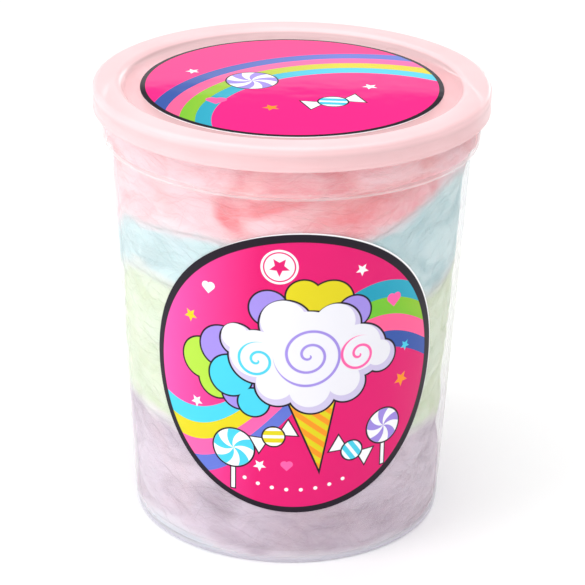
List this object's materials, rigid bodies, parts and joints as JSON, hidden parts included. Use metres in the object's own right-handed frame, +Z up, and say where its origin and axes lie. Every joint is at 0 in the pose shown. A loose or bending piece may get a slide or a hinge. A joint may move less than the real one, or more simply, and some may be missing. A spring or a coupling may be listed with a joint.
{
  "type": "tub of cotton candy",
  "caption": "Round clear plastic tub of pastel cotton candy in coloured layers, closed by a snap lid, with a round printed sticker on its front and lid.",
  "frame": {"origin": "middle of the tub's base, on the surface it stands on", "axes": "+Z up along the tub's axis, the front with the side sticker faces -Y"},
  "size_m": [0.118, 0.118, 0.1371],
  "materials": {
    "tub_plastic": "clear, slightly hazy polypropylene",
    "lid_plastic": "milky translucent polypropylene",
    "side_print": "glossy printed sticker, magenta with a dark border",
    "lid_print": "glossy printed sticker, magenta with a dark border",
    "candy_lavender": "matt spun sugar fibre, pale lavender",
    "candy_green": "matt spun sugar fibre, pale yellow-green",
    "candy_blue": "matt spun sugar fibre, pale blue",
    "candy_pink": "matt spun sugar fibre, pink"
  },
  "bodies": {
    "root": {"tub": "tub_plastic", "lid": "lid_plastic", "side_label": "side_print", "lid_label": "lid_print", "candy_lavender": "candy_lavender", "candy_green": "candy_green", "candy_blue": "candy_blue", "candy_pink": "candy_pink"}
  },
  "joints": []
}
